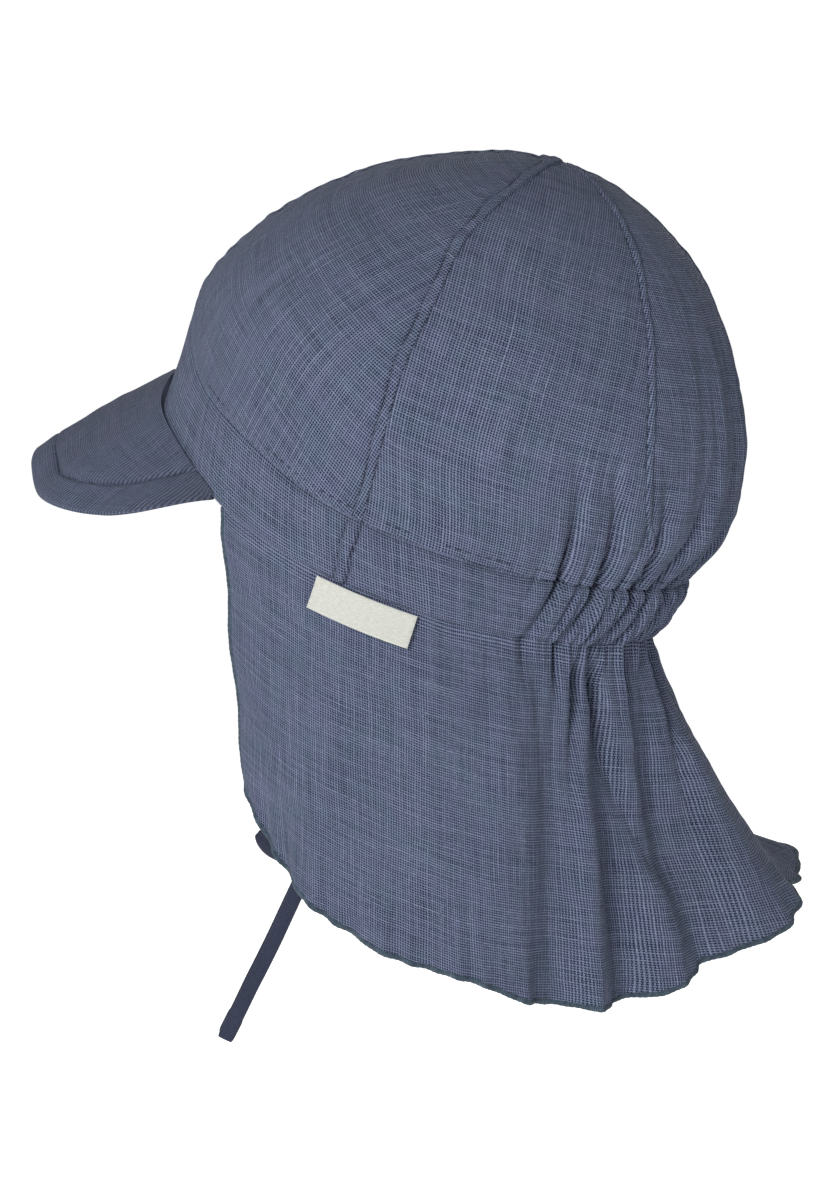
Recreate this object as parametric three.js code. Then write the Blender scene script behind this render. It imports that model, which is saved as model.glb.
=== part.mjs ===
// Legionnaire cap: a soft six-panel crown on a hem band that elastic gathers at the back,
// a padded peak, a neck flap with a rolled hem, a small bare label and two chin ties in a bow.
// Millimetres, +Z up, the peak points to -Y and the wearer's left side is +X.
// The origin is the middle of the opening where the head goes in.
import * as THREE from "three";

const DEG = Math.PI / 180;

// Cloth and clearances
const CLOTH = 1.4;
const GAP = 0.4;

// How the hat sits: the back lies lower than the front, and the crown's top lies
// behind the middle of the opening.
const HAT_TILT = 17.8 * DEG;
const TOP_BEHIND_MIDDLE = 5.6;

// Crown, measured from its own upright axis and from the level of the band's lower edge
const CROWN_HEIGHT = 117;
const CROWN_FRONT = 90.5;
const CROWN_SIDE = 73.5;
const CROWN_BACK = 80;
const CROWN_TIP_RADIUS = 1.6;
// A row for each seam on one side: its turn from the front at the band, at a third and two
// thirds of the way up and at the tip
const SEAMS = [
  { low: 0, third: 0, twoThirds: 0, high: 0 },
  { low: 73, third: 70, twoThirds: 69, high: 72 },
  { low: 136, third: 124, twoThirds: 122, high: 124 },
  { low: 180, third: 180, twoThirds: 180, high: 180 },
];
const SEAM_WIDTH = 1.3;
const SEAM_RISE = 0.9;
// A row for each level, closer together towards the tip: the reach to the front, side and
// back as shares of the crown's sizes. The level of row i of n is 1 - (1 - i / (n - 1)) ** 2
// of the crown's height.
const CROWN_ROWS = [
  { front: 0.985, side: 0.96, back: 0.88 },
  { front: 1, side: 0.998, back: 0.998 },
  { front: 0.998, side: 0.986, back: 0.961 },
  { front: 0.892, side: 0.903, back: 0.85 },
  { front: 0.737, side: 0.772, back: 0.718 },
  { front: 0.555, side: 0.608, back: 0.5625 },
  { front: 0.348, side: 0.417, back: 0.375 },
  { front: 0.17, side: 0.21, back: 0.185 },
  { front: 0, side: 0, back: 0 },
];

// Band: a turned hem, arched over the forehead, low at the sides and the back
const BAND_HEIGHT = 18.4;
const BAND_WALL = 2.4;
const BAND_FRONT = 90;
const BAND_SIDE = 70.5;
const BAND_BACK = 69.5;
const BAND_DIP = 13;
const BACK_LIFT = 6;
const FRONT_ARCH = 21;
const ARCH_SPREAD = 30;
// The band is taller by its corners, where its lower edge also stands out over the peak
const CORNER_RISE = 3.5;
const CORNER_TURN = 44;
const CORNER_SPREAD = 16;
const EDGE_KICK = 4;
const KICK_TURN = 19;
const KICK_SPREAD = 10;

// Gathers of the elastic, a ridge every pitch from the start round to the back
const GATHER_START = 112;
const GATHER_COUNT = 8;
const GATHER_DEPTH = 1.5;
const GATHER_SLANT = 5;
const GATHER_REACH = 0.4;

// Peak
const PEAK_TURN = 42;
const PEAK_LENGTH = 34.3;
const PEAK_DROP = 38;
const PEAK_THICKNESS = 2.6;
const PEAK_RIM = 10;
const PEAK_RIM_RISE = 0.9;
const PEAK_BOW = 2.3;
const PEAK_NORMAL = new THREE.Vector3(0, -0.5, 0.86);
// A row for each line round the peak's rim: its way in from the edge as a share of the rim's
// width, and its lift as a share of the rim's rise
const PEAK_EDGE = [
  { in: 0, lift: -0.8 },
  { in: 0.12, lift: 0.3 },
  { in: 0.45, lift: 1 },
  { in: 0.85, lift: 0.9 },
  { in: 1, lift: -0.8 },
  { in: 1.15, lift: 0 },
];
// A row for each share of the way from the middle to the peak's end
const PEAK_ROWS = [
  { forward: 1, down: 0.87 },
  { forward: 0.97, down: 0.94 },
  { forward: 0.845, down: 0.975 },
  { forward: 0.725, down: 0.875 },
  { forward: 0.58, down: 0.685 },
  { forward: 0.425, down: 0.415 },
  { forward: 0, down: 0 },
];

// Neck flap, from just behind the peak's end on one side round to the other
const FLAP_TURN = 45;
const FLAP_DROP = 103;
const FLAP_FLARE = 45;
const RUFFLE_DEPTH = 1.2;
const RUFFLE_COUNT = 17;
// The hem's outward flick behind the wearer's right ear
const FLICK_OUT = 21;
const FLICK_TURN = 206;
const FLICK_SPREAD = 13;
// A row for each share of the way from the front edge to the middle of the back
const FLAP_ROWS = [
  { drop: 0.79, flare: -0.17 },
  { drop: 0.92, flare: -0.1 },
  { drop: 0.97, flare: 0 },
  { drop: 0.98, flare: 0.08 },
  { drop: 0.965, flare: 0.13 },
  { drop: 1, flare: 0.17 },
  { drop: 1.005, flare: 0.2 },
  { drop: 0.99, flare: 0.26 },
  { drop: 0.92, flare: 0.5 },
  { drop: 0.84, flare: 0.85 },
  { drop: 0.76, flare: 1 },
];
// A row for each fold: its place at the band and at the hem in degrees of turn, its width
// there in degrees, and how far it stands out (or in) as a share of the fold depth.
const FOLD_DEPTH = 7;
const FOLDS = [
  { top: 84, hem: 78, width: 9, out: -0.35 },
  { top: 112, hem: 104, width: 7, out: 0.4 },
  { top: 122, hem: 119, width: 5, out: -0.6 },
  { top: 128, hem: 128, width: 5, out: 0.5 },
  { top: 134, hem: 139, width: 5, out: -0.7 },
  { top: 142, hem: 147, width: 5, out: 0.5 },
  { top: 150, hem: 156, width: 5, out: -0.7 },
  { top: 160, hem: 168, width: 6, out: 0.6 },
  { top: 180, hem: 184, width: 7, out: -0.5 },
  { top: 196, hem: 203, width: 8, out: 0.9 },
  { top: 212, hem: 220, width: 6, out: -0.6 },
  { top: 228, hem: 232, width: 6, out: 0.4 },
  { top: 242, hem: 246, width: 6, out: -0.5 },
  { top: 276, hem: 282, width: 9, out: -0.35 },
];
const HEM_RADIUS = 1.1;
const HEM_START = 2;

// Label, sewn in under the band just behind the front seam and hanging over the flap
const LABEL_TURN = 78.5;
const LABEL_WIDTH = 27;
const LABEL_HEIGHT = 9.2;
const LABEL_THICKNESS = 0.6;

// Chin ties, flat strips that run down inside the flap and are tied in a bow under the chin
const TIE_WIDTH = 4.6;
const TIE_THICKNESS = 1.4;
const KNOT_LENGTH = 8;
const KNOT_RADIUS = 3.6;
// Routes of the strips on the wearer's left, from the band to the knot and from the knot to
// the free end, and the loop's middle line from the knot to its tip
const KNOT = [0, -34.5, -101.5];
const TIE_ROUTE = [
  [59.4, -39.6, 0.8], [59, -39.2, -12], [57, -38.6, -27], [53.5, -37.8, -42], [48, -37, -57],
  [40.5, -36.2, -71], [31, -35.5, -83], [20, -35, -92], [11, -34.7, -97.6], [4.9, -34.5, -100.6],
];
const TIE_END_ROUTE = [
  [1.9, -36.1, -104.85], [3.3, -39.4, -112], [3.8, -42.6, -119], [4, -46, -126.4],
  [3.9, -49.6, -133.8], [3.6, -53.4, -141.4], [3.2, -57.2, -149.4], [2.8, -61.2, -157.4],
];
const LOOP_ROUTE = [
  [2.6, -38.3, -99.9], [5.4, -41.6, -97.4], [8.6, -45.2, -94.6], [11.2, -48.2, -92.2],
  [12.8, -50.2, -90.4],
];
const LOOP_WIDTH = 10;
const LOOP_THICKNESS = 3.4;

// Mesh fineness
const PANEL_LEVELS = 10;
const PEAK_COLUMNS = 24;
const FLAP_COLUMNS = 66;
const FLAP_LEVELS = 9;
const BAND_COLUMNS = { front: 52, back: 72 };
const STRIP_STEPS = 14;

const CLOTH_BLUE = new THREE.MeshStandardMaterial({ color: 0x555e82, roughness: 0.95 });
const HEM_TEAL = new THREE.MeshStandardMaterial({ color: 0x2c3c54, roughness: 0.9 });
const TIE_NAVY = new THREE.MeshStandardMaterial({ color: 0x434a68, roughness: 0.9 });
const LABEL_CREAM = new THREE.MeshStandardMaterial({ color: 0xe9e6dc, roughness: 0.8 });

const clamp = THREE.MathUtils.clamp;
const mix = THREE.MathUtils.lerp;
const smooth = THREE.MathUtils.smoothstep;
const bell = (x) => Math.exp(-x * x);
const steps = (count) => Array.from({ length: count + 1 }, (_, i) => i / count);

// A column of a table as a smooth curve, with place from 0 at its first row to 1 at its last
function along(rows, column, place) {
  const spot = clamp(place, 0, 1) * (rows.length - 1);
  const i = Math.min(Math.floor(spot), rows.length - 2);
  const at = (k) => rows[clamp(k, 0, rows.length - 1)][column];
  const curve = new THREE.SplineCurve([i - 1, i, i + 1, i + 2].map((k) => new THREE.Vector2(k, at(k))));
  return curve.getPoint((1 + spot - i) / 3).y;
}

// A point of a rounded ring, with turn in degrees from the front by the wearer's left
function ring(turn, front, side, back, z) {
  const squareness = 2.15;
  const s = Math.sin(turn * DEG);
  const c = Math.cos(turn * DEG);
  const k = (Math.abs(s) ** squareness + Math.abs(c) ** squareness) ** (-1 / squareness);
  return new THREE.Vector3(side * s * k, -(c > 0 ? front : back) * c * k, z);
}

// Turn measured from the front on either side, 0 to 180
const fromFront = (turn) => Math.abs(((turn + 180) % 360 + 360) % 360 - 180);

const outward = (turn) => new THREE.Vector3(Math.sin(turn * DEG), -Math.cos(turn * DEG), 0);

function bandFoot(turn) {
  const side = Math.sin(Math.min(fromFront(turn), 90) * DEG) ** 2;
  const back = smooth(fromFront(turn), 90, 180);
  return FRONT_ARCH * bell(fromFront(turn) / ARCH_SPREAD) - BAND_DIP * side + BACK_LIFT * back;
}

const bandTop = (turn) => {
  const corner = CORNER_RISE * bell((fromFront(turn) - CORNER_TURN) / CORNER_SPREAD);
  return bandFoot(turn) + BAND_HEIGHT + corner;
};

// How far the elastic's gathers stand out, before they fade up the crown
function gather(turn) {
  const pitch = (180 - GATHER_START) / GATHER_COUNT;
  const place = fromFront(turn) - GATHER_START;
  return GATHER_DEPTH * Math.cos((2 * Math.PI * place) / pitch) * smooth(place, 0, 1.5 * pitch);
}

const easeOf = (z) => 1 - Math.sqrt(1 - clamp(z / CROWN_HEIGHT, 0, 1));

// The crown's smooth form at a turn and a height
function crownForm(turn, z) {
  const place = easeOf(z);
  const size = (column, whole) => Math.max(along(CROWN_ROWS, column, place) * whole, CROWN_TIP_RADIUS);
  return ring(turn, size("front", CROWN_FRONT), size("side", CROWN_SIDE), size("back", CROWN_BACK), z);
}

// The crown from the band's top edge (0) to its tip (1), with the gathers that run up into it
function crownPoint(turn, share) {
  const foot = bandTop(turn) + GAP;
  const ease = mix(easeOf(foot), 1, clamp(share, 0, 1));
  const fade = 1 - smooth(share, 0, GATHER_REACH);
  return crownForm(turn, CROWN_HEIGHT * (1 - (1 - ease) ** 2)).addScaledVector(outward(turn), gather(turn) * fade);
}

function bandPoint(turn, up) {
  const kick = EDGE_KICK * bell((fromFront(turn) - KICK_TURN) / KICK_SPREAD);
  const low = ring(turn, BAND_FRONT + kick, BAND_SIDE + kick, BAND_BACK, bandFoot(turn));
  const slanted = fromFront(turn) + GATHER_SLANT * (1 - up);
  return low.lerp(crownForm(turn, bandTop(turn)), up).addScaledVector(outward(turn), gather(slanted));
}

// Moves a point from the hat's own upright frame to where the tilted hat holds it
const HAT_PLACE = new THREE.Matrix4()
  .makeRotationX(-HAT_TILT)
  .multiply(new THREE.Matrix4().makeTranslation(0, TOP_BEHIND_MIDDLE, 0));
const worn = (point) => point.clone().applyMatrix4(HAT_PLACE);

// The closed solid between two grids of points, [level][column]
function solidBetween(outer, inner, closed) {
  const levels = outer.length;
  const columns = outer[0].length;
  const points = [...outer.flat(), ...inner.flat()];
  const at = (side, i, j) => side * levels * columns + i * columns + (j % columns);
  const faces = [];
  const quad = (a, b, c, d) => faces.push(a, b, c, a, c, d);
  const last = closed ? columns : columns - 1;
  for (let j = 0; j < last; j++) {
    for (let i = 0; i < levels - 1; i++) {
      quad(at(0, i, j), at(0, i, j + 1), at(0, i + 1, j + 1), at(0, i + 1, j));
      quad(at(1, i, j), at(1, i + 1, j), at(1, i + 1, j + 1), at(1, i, j + 1));
    }
    quad(at(1, 0, j), at(1, 0, j + 1), at(0, 0, j + 1), at(0, 0, j));
    quad(at(0, levels - 1, j), at(0, levels - 1, j + 1), at(1, levels - 1, j + 1), at(1, levels - 1, j));
  }
  if (!closed) {
    for (let i = 0; i < levels - 1; i++) {
      quad(at(0, i, 0), at(0, i + 1, 0), at(1, i + 1, 0), at(1, i, 0));
      quad(at(0, i, last), at(1, i, last), at(1, i + 1, last), at(0, i + 1, last));
    }
  }
  const geometry = new THREE.BufferGeometry();
  geometry.setAttribute("position", new THREE.Float32BufferAttribute(points.flatMap((p) => p.toArray()), 3));
  geometry.setIndex(faces);
  return geometry;
}

// The outward normal of a surface whose first measure runs by the wearer's left and whose
// second runs up
function normalAt(surface, across, up, stepAcross, stepUp = 0.01) {
  const side = surface(across + stepAcross, up).sub(surface(across - stepAcross, up));
  const rise = surface(across, up + stepUp).sub(surface(across, up - stepUp));
  return side.cross(rise).normalize();
}

const TURN_STEP = 0.6;
const SHARE_STEP = 0.002;

// Keeps an edge of a wall square to its neighbour: both faces end at the same height
function levelEdge(inner, outer, level) {
  inner[level].forEach((point, j) => point.setZ(outer[level][j].z));
}

// A seam's turn on its way up, negative for the seams on the wearer's right
function seamTurn(seam, place) {
  const rows = [seam.low, seam.third, seam.twoThirds, seam.high].map((turn) => ({ turn }));
  return along(rows, "turn", place);
}

const mirrored = (seam) => Object.fromEntries(Object.entries(seam).map(([place, turn]) => [place, -turn]));

// A crown panel between two seams, with its edges raised into half of each seam's ridge
function crownPanel(first, second, inside) {
  const inner = [];
  const outer = steps(PANEL_LEVELS).map((place) => {
    const from = seamTurn(first, place);
    const to = seamTurn(second, place);
    const middle = crownPoint((from + to) / 2, place);
    const reach = Math.hypot(middle.x, middle.y);
    const left = from + Math.min(GAP / 2 / reach, 0.2) / DEG;
    const right = to + from - left;
    const ridge = Math.min(SEAM_WIDTH / reach / DEG, (to - from) / 8);
    const between = steps(inside).map((share) => mix(left + 2 * ridge, right - 2 * ridge, share));
    const turns = [left, left + ridge, ...between, right - ridge, right];
    const faced = [from, ...turns.slice(1, -1), to];
    const normals = faced.map((turn) => normalAt(crownPoint, turn, place, TURN_STEP));
    const points = turns.map((turn) => crownPoint(turn, place));
    if (place === 0) normals.forEach((normal) => normal.setZ(0));
    inner.push(points.map((point, j) => point.clone().addScaledVector(normals[j], -CLOTH)));
    return points.map((point, j) => {
      const rise = SEAM_RISE * (1 - smooth(Math.min(turns[j] - left, right - turns[j]), 0, 2 * ridge));
      return point.addScaledVector(normals[j], rise);
    });
  });
  return solidBetween(outer, inner, false);
}

function hemBand() {
  const turns = [
    ...steps(BAND_COLUMNS.front).slice(0, -1).map((share) => mix(-GATHER_START, GATHER_START, share)),
    ...steps(BAND_COLUMNS.back).slice(0, -1).map((share) => mix(GATHER_START, 360 - GATHER_START, share)),
  ];
  const levels = [0, 0.3, 0.7, 1];
  const outer = levels.map((up) => turns.map((turn) => bandPoint(turn, up)));
  const inner = levels.map((up, i) => turns.map((turn, j) => {
    const normal = normalAt(bandPoint, turn, up, TURN_STEP);
    return outer[i][j].clone().addScaledVector(normal, -BAND_WALL);
  }));
  levelEdge(inner, outer, 0);
  levelEdge(inner, outer, levels.length - 1);
  return solidBetween(outer, inner, true);
}

// A point of the peak's middle face: side from -1 to 1 across it, out from its seam under the
// band (0) to its edge (1)
function peakPoint(side, out) {
  const forward = PEAK_LENGTH * along(PEAK_ROWS, "forward", Math.abs(side));
  const down = PEAK_DROP * along(PEAK_ROWS, "down", Math.abs(side));
  const bow = PEAK_BOW * Math.sin(Math.PI * out) * (1 - side ** 4);
  const seam = bandPoint(side * PEAK_TURN, 0);
  return seam.add(new THREE.Vector3(0, -forward * out, -GAP - down * out + bow));
}

// The peak's two faces, with a raised rim inside its rounded edge and a stitched groove
function peak() {
  const columns = steps(PEAK_COLUMNS).map((share) => {
    const side = mix(-1, 1, share);
    const length = peakPoint(side, 0).distanceTo(peakPoint(side, 1));
    const rim = Math.min(PEAK_RIM / Math.max(length, PEAK_RIM), 0.6);
    const last = 1 - rim * PEAK_EDGE[PEAK_EDGE.length - 1].in;
    return [
      ...PEAK_EDGE.map((row) => ({ point: peakPoint(side, 1 - rim * row.in), lift: row.lift })),
      ...[0.66, 0.33, 0].map((out) => ({ point: peakPoint(side, last * out), lift: 0 })),
    ];
  });
  const face = (heightOf) => columns[0].map((_, level) => columns.map((column) => {
    return column[level].point.clone().addScaledVector(PEAK_NORMAL, heightOf(column[level].lift));
  }));
  const top = face((lift) => PEAK_RIM_RISE * lift);
  const under = face((lift) => -PEAK_THICKNESS);
  return solidBetween(top, under, false);
}

// A point of the neck flap: share from the left front edge (0) round the back to the right
// one (1), down from the band (0) to the hem (1)
function flapPoint(share, down) {
  const turn = mix(FLAP_TURN, 360 - FLAP_TURN, share);
  const half = 1 - Math.abs(2 * share - 1);
  const seam = bandPoint(turn, 0).addScaledVector(outward(turn), (CLOTH - BAND_WALL) / 2);
  const start = worn(seam.add(new THREE.Vector3(0, 0, -GAP)));
  const drop = FLAP_DROP * along(FLAP_ROWS, "drop", half);
  const flare = FLAP_FLARE * along(FLAP_ROWS, "flare", half) * Math.max(down, 0) ** 1.25;
  const folds = FOLDS.reduce((sum, fold) => {
    const width = fold.width * mix(0.6, 1.2, down);
    return sum + fold.out * bell((turn - mix(fold.top, fold.hem, down)) / width);
  }, 0);
  const edge = smooth(Math.min(share, 1 - share), 0, 0.04);
  const ruffle = RUFFLE_DEPTH * Math.sin(2 * Math.PI * RUFFLE_COUNT * share) * down ** 5;
  const flick = FLICK_OUT * bell((turn - FLICK_TURN) / FLICK_SPREAD) * Math.max(down, 0) ** 8;
  const out = flare + edge * FOLD_DEPTH * folds * smooth(down, 0, 0.5) + ruffle + flick;
  return start.addScaledVector(outward(turn), out).add(new THREE.Vector3(0, 0, -drop * down));
}

const flapSurface = (share, up) => flapPoint(share, 1 - up);

// The flap's outer face, or the same moved in by part of its thickness
function flapGrid(inwards) {
  return steps(FLAP_LEVELS).map((up) => steps(FLAP_COLUMNS).map((share) => {
    const normal = normalAt(flapSurface, share, up, SHARE_STEP);
    return flapSurface(share, up).addScaledVector(normal, -inwards);
  }));
}

const neckFlap = () => solidBetween(flapGrid(0), flapGrid(CLOTH), false);

// A closed tube through a list of centres, with the section's points given at each centre
function sweep(centres, section) {
  const path = new THREE.CatmullRomCurve3(centres);
  const rings = centres.map((centre, i) => {
    const share = i / (centres.length - 1);
    return section(centre, path.getTangent(share), share);
  });
  const sides = rings[0].length;
  const points = [...rings.flat(), centres[0], centres[centres.length - 1]];
  const faces = [];
  for (let i = 0; i < rings.length - 1; i++) {
    for (let j = 0; j < sides; j++) {
      const next = (j + 1) % sides;
      const [a, b, c, d] = [i * sides + j, i * sides + next, (i + 1) * sides + next, (i + 1) * sides + j];
      faces.push(a, b, c, a, c, d);
    }
  }
  const start = rings.length * sides;
  const foot = (rings.length - 1) * sides;
  for (let j = 0; j < sides; j++) {
    const next = (j + 1) % sides;
    faces.push(start, next, j, start + 1, foot + j, foot + next);
  }
  const geometry = new THREE.BufferGeometry();
  geometry.setAttribute("position", new THREE.Float32BufferAttribute(points.flatMap((p) => p.toArray()), 3));
  geometry.setIndex(faces);
  return geometry;
}

// The rolled hem down one front edge of the flap, along its lower edge and up the other
function flapHem() {
  const ups = steps(FLAP_LEVELS).slice(1, -1);
  const stations = [
    [0, 1 - HEM_START / FLAP_DROP],
    ...ups.map((up) => [0, up]).reverse(),
    ...steps(FLAP_COLUMNS).map((share) => [share, 0]),
    ...ups.map((up) => [1, up]),
    [1, 1 - HEM_START / FLAP_DROP],
  ];
  const normals = stations.map(([share, up]) => normalAt(flapSurface, share, up, SHARE_STEP));
  const edge = stations.map(([share, up], i) => flapSurface(share, up).addScaledVector(normals[i], -CLOTH / 2));
  const centres = edge.map((point, i) => {
    const tangent = edge[Math.min(i + 1, edge.length - 1)].clone().sub(edge[Math.max(i - 1, 0)]).normalize();
    return point.clone().addScaledVector(tangent.cross(normals[i]), HEM_RADIUS + GAP);
  });
  return sweep(centres, (centre, tangent) => roundSection(centre, tangent, HEM_RADIUS, 5));
}

function roundSection(centre, tangent, radius, sides) {
  const side = new THREE.Vector3(0, 0, 1).cross(tangent);
  const a = (side.length() > 0.2 ? side : new THREE.Vector3(1, 0, 0).cross(tangent)).normalize();
  const b = tangent.clone().cross(a).normalize();
  return steps(sides).slice(0, -1).map((share) => {
    const angle = 2 * Math.PI * share;
    return centre.clone().addScaledVector(a, radius * Math.cos(angle)).addScaledVector(b, radius * Math.sin(angle));
  });
}

function label() {
  const foot = bandPoint(LABEL_TURN, 0);
  const half = LABEL_WIDTH / 2 / Math.hypot(foot.x, foot.y) / DEG;
  const turns = steps(8).map((share) => LABEL_TURN + mix(-half, half, share));
  const face = (away) => [1, 0].map((up) => turns.map((turn) => {
    const point = bandPoint(turn, 0).addScaledVector(outward(turn), away);
    return point.add(new THREE.Vector3(0, 0, -GAP - LABEL_HEIGHT * up));
  }));
  return solidBetween(face(GAP + LABEL_THICKNESS), face(GAP), false);
}

// A flat strip along a route, its broad side turned towards "facing"
function strip(route, facing, width, thickness, narrowing = () => 1) {
  const curve = new THREE.CatmullRomCurve3(route.map((point) => new THREE.Vector3(...point)));
  const centres = steps(STRIP_STEPS).map((share) => curve.getPoint(share));
  return sweep(centres, (centre, tangent, share) => {
    const side = facing.clone().cross(tangent).normalize();
    const out = tangent.clone().cross(side).normalize();
    const size = narrowing(share);
    return steps(8).slice(0, -1).map((turn) => {
      const angle = 2 * Math.PI * turn;
      const across = (width / 2) * size * Math.cos(angle);
      return centre.clone().addScaledVector(side, across)
        .addScaledVector(out, (thickness / 2) * size * Math.sin(angle));
    });
  });
}

const mirrorRoute = (route) => route.map(([x, y, z]) => [-x, y, z]);

function knot() {
  const [x, y, z] = KNOT;
  const centres = steps(6).map((share) => new THREE.Vector3(x + KNOT_LENGTH * (share - 0.5), y, z));
  return sweep(centres, (centre, tangent, share) => {
    const radius = KNOT_RADIUS * Math.sqrt(Math.max(1 - (1.8 * (share - 0.5)) ** 2, 0));
    return roundSection(centre, tangent, radius, 8);
  });
}

const group = new THREE.Group();
const hat = new THREE.Group();
hat.applyMatrix4(HAT_PLACE);
group.add(hat);

function add(parent, name, geometry, material) {
  const mesh = new THREE.Mesh(geometry, material);
  mesh.name = name;
  parent.add(mesh);
}

const PANELS = ["front", "side", "back"];
PANELS.forEach((name, i) => {
  const inside = name === "front" ? 12 : 10;
  const [first, second] = [SEAMS[i], SEAMS[i + 1]];
  add(hat, `crown_${name}_left`, crownPanel(first, second, inside), CLOTH_BLUE);
  add(hat, `crown_${name}_right`, crownPanel(mirrored(second), mirrored(first), inside), CLOTH_BLUE);
});
add(hat, "hem_band", hemBand(), CLOTH_BLUE);
add(hat, "peak", peak(), CLOTH_BLUE);
add(group, "neck_flap", neckFlap(), CLOTH_BLUE);
add(group, "flap_hem", flapHem(), HEM_TEAL);
add(hat, "label", label(), LABEL_CREAM);
add(group, "bow_knot", knot(), TIE_NAVY);

const SIDES = [
  { name: "left", route: (points) => points, out: 1 },
  { name: "right", route: mirrorRoute, out: -1 },
];
for (const { name, route, out } of SIDES) {
  const cheek = new THREE.Vector3(out, 0, 0.2);
  const aside = new THREE.Vector3(out, 0, 0);
  const loopSize = (share) => Math.sin(Math.PI * mix(0.12, 0.86, share)) ** 0.6;
  add(group, `tie_${name}`, strip(route(TIE_ROUTE), cheek, TIE_WIDTH, TIE_THICKNESS), TIE_NAVY);
  add(group, `tie_end_${name}`, strip(route(TIE_END_ROUTE), aside, TIE_WIDTH, TIE_THICKNESS), TIE_NAVY);
  add(group, `bow_loop_${name}`, strip(route(LOOP_ROUTE), aside, LOOP_WIDTH, LOOP_THICKNESS, loopSize), TIE_NAVY);
}

export default group;
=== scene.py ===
"""Legionnaire cap in slubbed cotton muslin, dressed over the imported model.

Lengths in this script are millimetres until a mesh is made, with +Z up, the peak towards -Y
and the wearer's left side at +X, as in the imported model.
"""
import math

import bpy
import numpy as np
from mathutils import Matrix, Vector


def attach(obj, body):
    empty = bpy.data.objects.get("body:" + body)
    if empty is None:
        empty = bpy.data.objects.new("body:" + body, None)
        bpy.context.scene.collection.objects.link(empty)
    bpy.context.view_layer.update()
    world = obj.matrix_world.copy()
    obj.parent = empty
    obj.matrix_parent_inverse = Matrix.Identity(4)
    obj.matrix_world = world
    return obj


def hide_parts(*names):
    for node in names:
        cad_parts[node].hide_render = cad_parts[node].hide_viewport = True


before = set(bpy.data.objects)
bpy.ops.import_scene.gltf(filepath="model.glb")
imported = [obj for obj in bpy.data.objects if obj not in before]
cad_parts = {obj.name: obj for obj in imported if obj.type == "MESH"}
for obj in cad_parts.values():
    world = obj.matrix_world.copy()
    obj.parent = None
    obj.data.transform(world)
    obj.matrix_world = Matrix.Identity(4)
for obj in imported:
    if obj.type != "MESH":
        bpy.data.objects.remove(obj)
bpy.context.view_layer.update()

MM = 0.001
GAP = 0.4

# The hat's sizes and tables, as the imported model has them
HAT_TILT = math.radians(17.8)
TOP_BEHIND_MIDDLE = 5.6
CROWN_HEIGHT = 117
CROWN_FRONT, CROWN_SIDE, CROWN_BACK = 90.5, 73.5, 80
CROWN_TIP_RADIUS = 1.6
# front, side, back
CROWN_ROWS = np.array([
    (0.985, 0.96, 0.88),
    (1, 0.998, 0.998),
    (0.998, 0.986, 0.961),
    (0.892, 0.903, 0.85),
    (0.737, 0.772, 0.718),
    (0.555, 0.608, 0.5625),
    (0.348, 0.417, 0.375),
    (0.17, 0.21, 0.185),
    (0, 0, 0),
])
BAND_HEIGHT = 18.4
BAND_WALL = 2.4
BAND_FRONT, BAND_SIDE, BAND_BACK = 90, 70.5, 69.5
BAND_DIP = 13
BACK_LIFT = 6
FRONT_ARCH = 21
ARCH_SPREAD = 30
CORNER_RISE, CORNER_TURN, CORNER_SPREAD = 3.5, 44, 16
EDGE_KICK, KICK_TURN, KICK_SPREAD = 4, 19, 10
CLOTH = 1.4

# Each seam's turn from the front at even steps from the band to the tip
SEAM_TURNS = {
    "front": [0] * 9,
    "side": [73, 72.2, 71.8, 71.6, 69.9, 70.6, 71.8, 72.4, 72.5],
    "rear": [140, 128.6, 125.2, 124.8, 124.4, 124.6, 125.5, 126.5, 126.5],
    "back": [180] * 9,
}


def mix(a, b, t):
    return a + (b - a) * t


def smooth(x, start, end):
    t = np.clip((x - start) / (end - start), 0, 1)
    return t * t * (3 - 2 * t)


def bell(x):
    return np.exp(-x * x)


def along(rows, place):
    """A row of numbers as a smooth curve, with place from 0 at the first to 1 at the last."""
    rows = np.asarray(rows, float)
    n = len(rows)
    spot = np.clip(place, 0, 1) * (n - 1)
    i = np.minimum(spot.astype(int), n - 2)
    t = spot - i
    p = [rows[np.clip(i + k, 0, n - 1)] for k in (-1, 0, 1, 2)]
    v0 = (p[2] - p[0]) / 2
    v1 = (p[3] - p[1]) / 2
    cubed = (2 * p[1] - 2 * p[2] + v0 + v1) * t**3
    squared = (3 * p[2] - 3 * p[1] - 2 * v0 - v1) * t**2
    return cubed + squared + v0 * t + p[1]


def waves(u, v, seed, low, high, count=18):
    """Soft uneven waves about 1 high, with lengths from low to high, made of turned ripples."""
    rng = np.random.default_rng(seed)
    total = np.zeros(np.broadcast(u, v).shape)
    for _ in range(count):
        length = mix(low, high, rng.random())
        angle, phase = 2 * math.pi * rng.random(2)
        total += np.sin(2 * math.pi * (u * math.cos(angle) + v * math.sin(angle)) / length + phase)
    return total / math.sqrt(count)


def from_front(turn):
    """Degrees away from the front, to either side."""
    return abs((turn + 180) % 360 - 180)


def outward(turn):
    """The level direction away from the hat's middle."""
    t = np.radians(turn)
    return np.stack([np.sin(t), -np.cos(t), np.zeros_like(t)], -1)


def ring(turn, front, side, back, z):
    """A rounded oval seen from above, with its own half length to the front, side and back."""
    squareness = 2.15
    s, c = np.sin(np.radians(turn)), np.cos(np.radians(turn))
    k = (abs(s) ** squareness + abs(c) ** squareness) ** (-1 / squareness)
    return np.stack([side * s * k, -np.where(c > 0, front, back) * c * k, z + np.zeros_like(s)], -1)


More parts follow.
